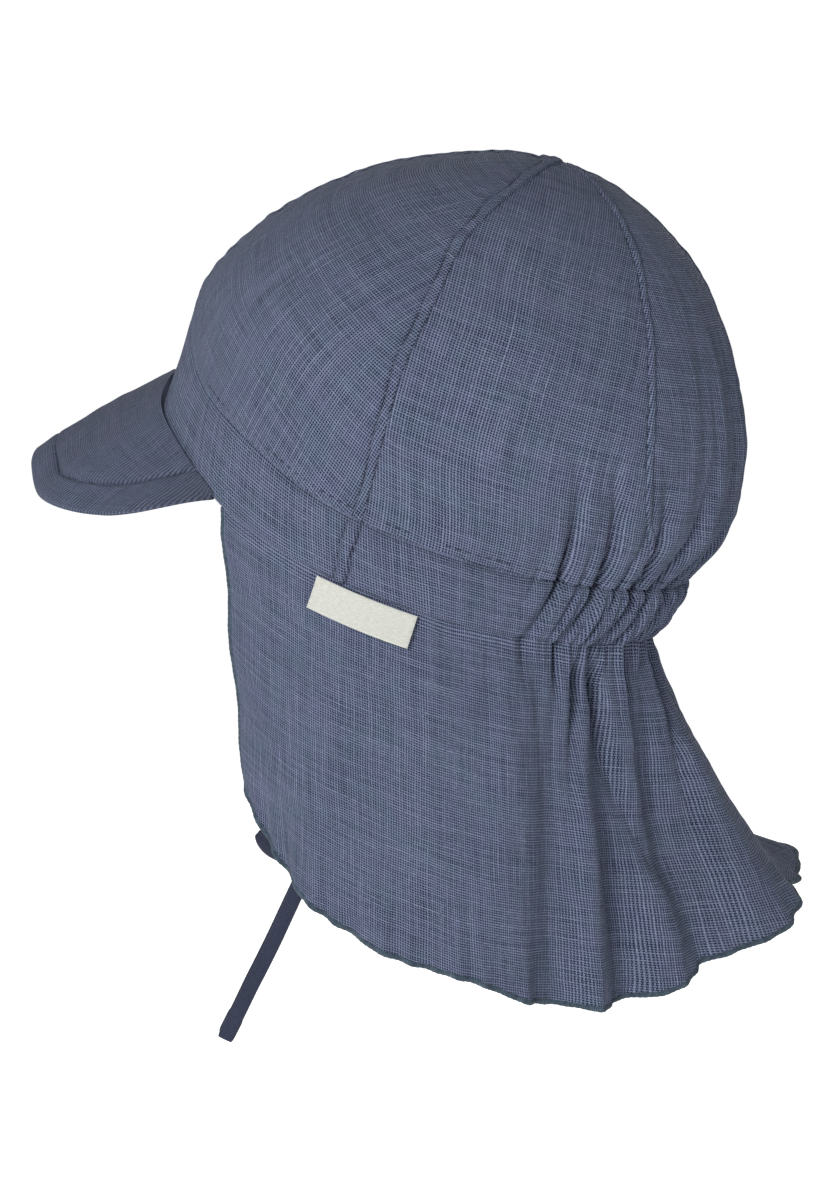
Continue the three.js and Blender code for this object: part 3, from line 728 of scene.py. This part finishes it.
def crown_panel(label, first, second, sign):
    """One panel between two seams, mirrored with sign -1, and the line of its rear stitching."""
    share = np.linspace(0, 1, PANEL_LEVELS + 1)
    low, high = along(SEAM_TURNS[first], share), along(SEAM_TURNS[second], share)
    middle = crown_point((low + high) / 2, share)
    radius = np.hypot(middle[:, 0], middle[:, 1])
    width = radius * np.radians(high - low)
    squeeze = np.minimum(1, 0.4 * width / EDGE_STEPS[-1])[:, None]
    edge = EDGE_STEPS[None] * squeeze
    inside = np.linspace(0, 1, PANEL_INSIDE + 2)[None, 1:-1]
    inner_width = width[:, None] - 2 * edge[:, -1:]
    off = np.concatenate([edge, edge[:, -1:] + inner_width * inside, width[:, None] - edge[:, ::-1]], 1)
    # The panels meet inside the seam
    lap = -np.minimum(SEAM_LAP, 0.1 * width[:, None])
    turn = low[:, None] + np.degrees((lap + off * (1 - 2 * lap / width[:, None])) / radius[:, None])
    level = np.broadcast_to(share[:, None], turn.shape)
    base = crown_point(turn, level)
    normal = normals_of(base)
    flat = np.broadcast_to(lengths_of(middle)[:, None], turn.shape)
    # The welts fade out where the six panels meet
    tip = 1 - 0.6 * smooth(share, 0.9, 1.0)[:, None]
    to_rear = (width[:, None] - off) / squeeze
    rear = welt_height(to_rear, WELT, flat, 1.0) * tip
    if second == "rear":
        rear = 0.55 * welt_height(to_rear, REAR_WELT, flat, 5.0) * tip
    front = -0.5 * bell(off / squeeze / 0.3) - 0.2 * bell((off / squeeze - 1.0) / 0.9)
    if second == "back":
        rear = 0.4 * welt_height(to_rear, BACK_WELT, flat, 2.0) * tip
    if first == "front":
        front = 0.4 * welt_height(off / squeeze, FRONT_WELT, flat, 3.0) * tip * smooth(level, 0, 0.06)
    relief = rear + front
    relief = relief + 0.14 * waves(off - width[:, None] / 2, flat, 11 + len(label), 7, 26)
    near_seam = bell((width[:, None] - off - WELT - 2) / 4) + bell((off - 3) / 4)
    relief = relief + 0.16 * near_seam * waves(flat, 0.2 * off, 5, 4, 9)
    outer = base + normal * relief[..., None]
    inner = base - normal * CLOTH
    turned = math.radians(GRAIN_TURN[label.split("_")[0]])
    centred = off - width[:, None] / 2
    grain = np.stack([
        centred * math.cos(turned) - flat * math.sin(turned),
        centred * math.sin(turned) + flat * math.cos(turned),
    ], -1)
    grain = grain + (0.0 if sign > 0 else 61.0, 0.0)
    if sign < 0:
        outer, inner = (x[:, ::-1] * (-1, 1, 1) for x in (outer, inner))
        grain = grain[:, ::-1]
    shown = shell(hat_place(outer), hat_place(inner), grain)
    piece = make(f"crown_{label}_cloth", *shown, CLOTH_SKIN, "cloth")
    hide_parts(f"crown_{label}")
    # Stitching along the welt
    row = np.stack([turn[:, -1] - np.degrees((WELT + 0.02) * squeeze[:, 0] / radius), share], -1)
    return piece, row


def on_crown(turn, share, lift=0.0):
    """Points and normals on the crown in the row frame."""
    step = 0.3
    p = crown_point(turn, share)
    across = crown_point(turn + step, share) - crown_point(turn - step, share)
    rise = crown_point(turn, share + 0.004) - crown_point(turn, share - 0.004)
    n = np.cross(across, rise)
    n /= np.linalg.norm(n, axis=-1, keepdims=True)
    return p + n * lift, n


# name, seam before it, seam behind it
PANELS = [("front", "front", "side"), ("side", "side", "rear"), ("back", "rear", "back")]

seam_rows = []
for name, first, second in PANELS:
    for side_name, sign in (("left", 1), ("right", -1)):
        piece, row = crown_panel(f"{name}_{side_name}", first, second, sign)
        if second != "back":
            seam_rows.append((row, sign))


def place_row(points, normals, sign):
    """A row of points and normals of the upright hat, on one side of the tilted hat."""
    if sign < 0:
        points, normals = points * (-1, 1, 1), normals * (-1, 1, 1)
    origin = hat_place(np.zeros(3))
    return hat_place(points), hat_place(normals) - origin


STITCHES_END = 0.93
STITCH_LIFT = -0.02
SEAM_STITCH = {"length": 1.9, "space": 0.9, "radius": 0.13}
rows = []
for row, sign in seam_rows:
    keep = row[:, 1] < STITCHES_END
    rows.append(place_row(*on_crown(row[keep, 0], row[keep, 1], STITCH_LIFT), sign))
share = np.linspace(0.01, STITCHES_END, 160)
middle_off = FRONT_WELT + 0.05
for sign in (1, -1):
    radius = np.hypot(*np.moveaxis(crown_point(np.zeros(160), share), -1, 0)[:2])
    turn = np.degrees(middle_off / np.maximum(radius, 4))
    rows.append(place_row(*on_crown(turn, share, STITCH_LIFT), sign))
sewn = join([stitches(p, n, **SEAM_STITCH) for p, n in rows])
seam_stitches = make("seam_stitches", *sewn, STITCH_SKIN, "cloth")


# Hem band

BAND_COLUMNS, BAND_LEVELS = 900, 26
BAND_GRAIN_RADIUS, BAND_GRAIN_LEAN = 80, 0.35
BAND_SEAM_TURN = SEAM_TURNS["side"][0]
MM_PER_DEGREE = 1.25
SEAM_ALLOWANCE = 2.0
BAND_STITCH = {"length": 2.1, "space": 0.9, "radius": 0.17, "sink": 0.02}
turns = np.linspace(0, 360, BAND_COLUMNS, endpoint=False)
ups = np.linspace(0, 1, BAND_LEVELS + 1)
turn, up = np.meshgrid(turns, ups)
base = band_point(turn, up)
looped = np.concatenate([base[:, -2:], base, base[:, :2]], 1)
normal = normals_of(looped)[:, 2:-2]
run = np.radians(turn) * BAND_GRAIN_RADIUS
seam_off = (from_front(turn) - BAND_SEAM_TURN - 0.6 * (1 - up)) * MM_PER_DEGREE
relief = welt_height(-seam_off, WELT, up * BAND_HEIGHT, 4.0)
relief = relief + 0.1 * waves(run, up * BAND_HEIGHT, 21, 5, 18)
edges = 0.45 * bell(up * BAND_HEIGHT / 0.7) + 0.7 * bell((1 - up) * BAND_HEIGHT / 0.8)
relief = relief - edges * smooth(from_front(turn), 18, 46)
outer = base + normal * relief[..., None]
inner = base - normal * BAND_WALL
# The seam allowance stands up inside the crown
inner[0, :, 2], inner[-1, :, 2] = outer[0, :, 2], outer[-1, :, 2] + SEAM_ALLOWANCE
whole_turn = np.full((len(ups), 1), math.radians(360) * BAND_GRAIN_RADIUS)
wide = np.concatenate([run, whole_turn], 1)
slant = np.concatenate([up, up[:, :1]], 1) * BAND_HEIGHT
grain = np.stack([wide + BAND_GRAIN_LEAN * slant, slant], -1)
shown = shell(hat_place(outer), hat_place(inner), grain, closed=True)
band = make("hem_band_cloth", *shown, CLOTH_SKIN, "cloth")
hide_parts("hem_band")

# The stitching over the band's seam isn't seen in front
turns = np.linspace(30, 330, 1200)
line, line_normal = place_row(*on_crown(turns, np.full(1200, 0.01)), 1)
sewn = stitches(line, line_normal, **BAND_STITCH)
band_stitches = make("band_stitches", *sewn, STITCH_SKIN, "cloth")


# Padded peak with a stitched groove a finger's width inside its edge

PEAK_TURN = 42
PEAK_LENGTH, PEAK_DROP, PEAK_BOW = 34.3, 38, 2.3
# forward, down
PEAK_ROWS = np.array([
    (1, 0.87), (0.97, 0.94), (0.845, 0.975), (0.725, 0.875), (0.58, 0.685), (0.425, 0.415), (0, 0),
])
PEAK_GROOVE_IN = 9.5
PEAK_SEAM_LIFT = 1.6
PEAK_EDGE_ROUND = 1.5
PEAK_COLUMNS, PEAK_LEVELS = 160, 80


def peak_point(side, out):
    """Points of the peak, with side from -1 to 1 and out from 0 at the band to 1 at its edge."""
    # The table's curve is rounded off where the two halves meet
    across = np.sqrt(0.994 * side**2 + 0.006)
    forward = PEAK_LENGTH * along(PEAK_ROWS[:, 0], across)
    down = PEAK_DROP * along(PEAK_ROWS[:, 1], across)
    bow = PEAK_BOW * np.sin(math.pi * out) * (1 - side**4)
    fall = PEAK_SEAM_LIFT - (down + PEAK_SEAM_LIFT + GAP) * out + bow
    move = np.stack([np.zeros_like(side), -forward * out, fall], -1)
    blend = 0.7 * (1 - smooth(out, 0, 0.3)) * (1 - side**8)
    return band_edge(side * PEAK_TURN) + outward(side * PEAK_TURN) * blend[..., None] + move


sides, outs = np.linspace(-0.995, 0.995, PEAK_COLUMNS + 1), np.linspace(1, 0, PEAK_LEVELS + 1)
side, out = np.meshgrid(sides, outs)
base = peak_point(side, out)
normal = normals_of(base)
edge = base[0][None, None]
away = np.sqrt((((base[:, :, None] - edge) ** 2).sum(-1)).min(-1))
roll = np.sqrt(np.clip(1 - (1 - np.clip(away / PEAK_EDGE_ROUND, 0, 1)) ** 2, 0, 1))
shown = 0.15 + 0.85 * smooth(abs(side), 0.05, 0.28)
pad = 0.6 * shown * smooth(away, PEAK_GROOVE_IN + 0.2, PEAK_GROOVE_IN + 3.2)
rim = 0.35 * np.sin(math.pi * np.clip(away / PEAK_GROOVE_IN, 0, 1)) ** 0.7
groove = 1.25 * shown * bell((away - PEAK_GROOVE_IN) / 0.5)
soft = 0.12 * waves(base[..., 0], base[..., 1] + base[..., 2], 31, 8, 24)
middle = base - normal * 0.9
thick = np.maximum(1.25 * roll, 0.7 * smooth(abs(side), 0.9, 0.99))
top = middle + normal * (thick + pad + rim - groove + soft)[..., None]
under = middle - normal * (thick + 0.3 * rim - 0.4 * groove)[..., None]
grain = np.stack([base[..., 0] * 1.15, lengths_of(base[:, PEAK_COLUMNS // 2])[:, None] + 0 * side], -1)
peak = make("peak_cloth", *shell(hat_place(top), hat_place(under), grain), PEAK_SKIN, "cloth", crease=70)
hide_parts("peak")


# Neck flap, from just behind the peak's end on one side round to the other

FLAP_TURN = 45
FLAP_DROP, FLAP_FLARE = 103, 45
FOLD_DEPTH = 7
FLICK_OUT, FLICK_TURN, FLICK_SPREAD = 21, 206, 13
FLARE_OUT, FLARE_LIFT, FLARE_TURN, FLARE_SPREAD = 9, 14, 210, 12
# drop, flare
FLAP_ROWS = np.array([
    (0.79, -0.17), (0.92, -0.1), (0.97, 0), (0.98, 0.08), (0.965, 0.13), (1, 0.17), (1.005, 0.2),
    (0.99, 0.26), (0.92, 0.5), (0.84, 0.85), (0.76, 1),
])
# The folds that the solid has: turn at the band, turn at the hem, width in degrees, out or in
FOLDS = [
    (84, 78, 9, -0.35), (112, 104, 7, 0.4), (122, 119, 5, -0.6), (128, 128, 5, 0.5), (134, 139, 5, -0.7),
    (142, 147, 5, 0.5), (150, 156, 5, -0.7), (160, 168, 6, 0.6), (180, 184, 7, -0.5), (196, 203, 8, 0.9),
    (212, 220, 6, -0.6), (228, 232, 6, 0.4), (242, 246, 6, -0.5), (276, 282, 9, -0.35),
]
# Sharp creases that run down from the gathered band: turn at the band, half way and at the
# hem, width in degrees, depth at the band, half way and at the hem
FLAP_CREASES = [
    (105, 103, 101, 1.5, 0.8, 0.1, 0.0),
    (117.5, 118, 116, 1.6, 2.6, 0.0, 0.0),
    (123, 121, 119, 1.3, 1.2, 0.2, 0.0),
    (130.5, 125.5, 124, 2.1, 8.0, 2.8, -2.0),
    (136.5, 143.5, 156, 2.3, 10.0, 6.0, -4.5),
    (142, 147, 158, 1.3, 2.0, 0.4, 0.0),
    (148, 150.5, 158, 1.4, 4.2, 0.8, 0.0),
    (154, 155, 158, 1.4, 2.4, 0.5, 0.0),
    (165.5, 160.3, 160.7, 1.7, 5.0, 3.6, 2.2),
    (173, 176, 180, 1.6, 3.0, 1.4, 0.6),
]
FLAP_COLUMNS, FLAP_LEVELS = 420, 104
FLAP_SKIN_IN, FLAP_THICK = 0.25, 0.9
FLAP_SEWN_IN = 1.6
FLAP_GRAIN_RADIUS = 86
RUFFLES = 17


def flap_point(share, down):
    """Points of the flap's face, with share from its left front edge round to its right one and
    down from 0 in the band to 1 at the hem."""
    turn = mix(FLAP_TURN, 360 - FLAP_TURN, share)
    free = np.minimum(share, 1 - share)
    # The front edges sway a little
    sway = np.sign(share - 0.5) * 0.6 * np.sin(down * 15 + 0.6)
    turn = turn + sway * smooth(down, 0, 0.12) * bell(free / 0.03)
    half = 1 - abs(2 * share - 1)
    seam = band_edge(turn) - outward(turn) * (BAND_WALL - CLOTH) / 2 - (0, 0, GAP)
    start = hat_place(seam)
    # The top edge is sewn up inside the band and gathered with it
    sewn = 1 - smooth(down, 0, 0.05)
    start = start + np.stack([0 * down, 0 * down, FLAP_SEWN_IN * sewn], -1)
    drop = FLAP_DROP * along(FLAP_ROWS[:, 0], half)
    flare = FLAP_FLARE * along(FLAP_ROWS[:, 1], half) * np.maximum(down, 0) ** 1.25
    folds = sum(
        amount * bell((turn - mix(top, hem, down)) / (width * mix(0.6, 1.2, down)))
        for top, hem, width, amount in FOLDS
    )
    edge = smooth(free, 0, 0.04)
    ruffle = 1.2 * np.sin(2 * math.pi * RUFFLES * share) * down**5
    out = flare + edge * FOLD_DEPTH * folds * smooth(down, 0, 0.5) + ruffle
    out = out + FLICK_OUT * bell((turn - FLICK_TURN) / FLICK_SPREAD) * np.maximum(down, 0) ** 8
    flare_here = bell((turn - FLARE_TURN) / FLARE_SPREAD)
    out = out + FLARE_OUT * flare_here * smooth(down, 0.7, 1.0)
    drop = drop - FLARE_LIFT * flare_here * smooth(down, 0.5, 1.0)
    gathered = band_gather(turn, 0 * turn, np.hypot(seam[..., 0], seam[..., 1]))
    out = out + gathered * (1 - smooth(down, 0, 0.2))
    a = from_front(turn)
    creases = np.zeros_like(turn)
    for top, half_way, hem, width, deep_top, deep_half, deep_hem in FLAP_CREASES:
        at = along([top, half_way, hem], down)
        deep = np.maximum(along([deep_top, deep_half, deep_hem], down), 0)
        spread = width * mix(1, 2.2, down)
        creases = creases + deep * np.exp(-(abs(a - at) / spread) ** CREASE_SHARPNESS)
    fine = 0.45 * np.sin(np.radians(a) * 52) * smooth(a, 112, 126) * (1 - smooth(down, 0, 0.35))
    ripples = 0.45 * waves(np.radians(turn) * 20, down * 100, 43, 5, 10)
    ripples = ripples * bell((a - 92) / 16) * (1 - smooth(down, 0.1, 0.25))
    fine = fine + ripples * smooth(down, 0, 0.03)
    drape = 0.5 * waves(np.radians(turn) * 75, down * 100, 41, 22, 60)
    crumple = 0.16 * waves(np.radians(turn) * 75, down * 100, 42, 6, 16)
    flutter = (0.5 * np.sin(share * 211) + 0.45 * np.sin(share * 331 + 1)) * down**8
    out = out - creases * smooth(down, 0, 0.12) + fine * smooth(down, 0, 0.06)
    out = out + (drape + crumple) * smooth(down, 0, 0.12) * edge + flutter
    return start + outward(turn) * out[..., None] - np.stack([0 * down, 0 * down, drop * down], -1)


shares, downs = np.linspace(0, 1, FLAP_COLUMNS + 1), np.linspace(1, 0, FLAP_LEVELS + 1)
share, down = np.meshgrid(shares, downs)
face = flap_point(share, down)
normal = normals_of(face)
drop = FLAP_DROP * along(FLAP_ROWS[:, 0], 1 - abs(2 * share - 1))
around = np.radians(mix(FLAP_TURN, 360 - FLAP_TURN, share)) * FLAP_GRAIN_RADIUS
grain = np.stack([around, down * drop * 1.02], -1)
shown = shell(face - normal * FLAP_SKIN_IN, face - normal * (FLAP_SKIN_IN + FLAP_THICK), grain)
flap = make("neck_flap_cloth", *shown, CLOTH_SKIN, "cloth")
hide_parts("neck_flap")

# Rolled overlock hem along the flap's free edges
HEM_STEP, HEM_OUT = 0.55, 0.55
HEM_HALF_WIDTH, HEM_HALF_THICK = 1.0, 0.82
trace = np.concatenate([face[::-1, 0], face[0, 1:-1], face[:, -1]])
trace_normal = np.concatenate([normal[::-1, 0], normal[0, 1:-1], normal[:, -1]])
trace = trace - trace_normal * (FLAP_SKIN_IN + FLAP_THICK / 2)
run = lengths_of(trace)
at = np.arange(1.0, run[-1] - 1.0, HEM_STEP)
path = np.stack([np.interp(at, run, trace[:, k]) for k in range(3)], -1)
up = np.stack([np.interp(at, run, trace_normal[:, k]) for k in range(3)], -1)
t = tangents_of(path)
outwards = np.cross(t, up)
outwards /= np.linalg.norm(outwards, axis=-1, keepdims=True)
up = np.cross(outwards, t)
angle = np.linspace(0, 2 * math.pi, 12, endpoint=False)
wave = 0.92 + 0.06 * np.sin(at * 2 * math.pi / 1.7) + 0.05 * np.sin(at * 0.9)
section = np.stack([HEM_HALF_WIDTH * np.cos(angle), HEM_HALF_THICK * np.sin(angle)], -1)
section = section[None] * wave[:, None, None]
hem = tube(path + outwards * HEM_OUT, outwards, up, section)
flap_hem = make("flap_hem_thread", *hem, HEM_SKIN, "hem_thread")
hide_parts("flap_hem")


# Label: a folded tab of woven tape, left bare

LABEL_TURN, LABEL_WIDTH, LABEL_HEIGHT = 78.2, 24.2, 9.2
LABEL_OUT, LABEL_HALF_THICK = 1.45, 0.28
foot = band_edge(np.array([float(LABEL_TURN)]))[0]
half = math.degrees(LABEL_WIDTH / 2 / math.hypot(foot[0], foot[1]))
turn, down = np.meshgrid(LABEL_TURN + np.linspace(-half, half, 61), np.linspace(1, 0, 25))
curl = 0.5 * down**2 + 0.35 * np.sin((turn - LABEL_TURN) / half * 2.2) * down
hang = GAP + 0.2 + (LABEL_HEIGHT + 0.4) * down
face = band_edge(turn) + outward(turn) * (LABEL_OUT + curl)[..., None]
face = face - np.stack([0 * down, 0 * down, hang], -1)
normal = normals_of(face)
from_side = (half - abs(turn - LABEL_TURN)) * MM_PER_DEGREE
rounded = np.minimum(np.minimum(down, 1 - down) * LABEL_HEIGHT, from_side)
thick = normal * (LABEL_HALF_THICK * np.sqrt(np.clip(rounded / 0.3, 0.02, 1)))[..., None]
grain = np.stack([(turn - LABEL_TURN) * MM_PER_DEGREE, down * LABEL_HEIGHT], -1)
shown = shell(hat_place(face + thick), hat_place(face - thick), grain)
label = make("label_tape_tab", *shown, LABEL_SKIN, "label_tape")
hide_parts("label")


# Plain pale floor with low walls far off, and soft studio light. These lengths are metres

scene = bpy.context.scene
scene.view_settings.view_transform = "Standard"
world = bpy.data.worlds.new("studio")
world.use_nodes = True
world.node_tree.nodes["Background"].inputs[0].default_value = (1.0, 1.0, 1.0, 1)
world.node_tree.nodes["Background"].inputs[1].default_value = 0.13
scene.world = world

floor_mesh = bpy.data.meshes.new("floor")
reach, floor_z, wall_top = 30.0, -0.42, 5.5
corners = [(-reach, -reach), (reach, -reach), (reach, reach), (-reach, reach)]
floor_points = [(x, y, z) for z in (floor_z, wall_top) for x, y in corners]
walls = [(k, k + 4, (k + 1) % 4 + 4, (k + 1) % 4) for k in range(4)]
floor_mesh.from_pydata(floor_points, [], [(0, 1, 2, 3)] + walls)
floor = bpy.data.objects.new("floor", floor_mesh)
scene.collection.objects.link(floor)
pale = bpy.data.materials.new("pale_floor")
pale.use_nodes = True
shader = pale.node_tree.nodes["Principled BSDF"]
shader.inputs["Base Color"].default_value = (0.5, 0.5, 0.5, 1)
shader.inputs["Roughness"].default_value = 1.0
shader.inputs["Specular IOR Level"].default_value = 0.0
shader.inputs["Emission Color"].default_value = (1, 1, 1, 1)
shader.inputs["Emission Strength"].default_value = 0.94
floor_mesh.materials.append(pale)


def softbox(name, place, size, watts):
    """A square lamp that faces the hat."""
    light = bpy.data.lights.new(name, "AREA")
    light.shape = "SQUARE"
    light.size = size
    light.energy = watts
    lamp = bpy.data.objects.new(name, light)
    lamp.location = place
    lamp.rotation_mode = "QUATERNION"
    lamp.rotation_quaternion = (-Vector(place)).to_track_quat("-Z", "Y")
    scene.collection.objects.link(lamp)


softbox("key", (1.15, -0.36, 0.36), 0.4, 18.5)
softbox("right fill", (-1.25, 0.15, 0.45), 0.8, 9)
softbox("back fill", (-0.3, 1.3, 0.5), 0.8, 3)
softbox("front fill", (-0.5, -1.2, 0.5), 0.8, 5)
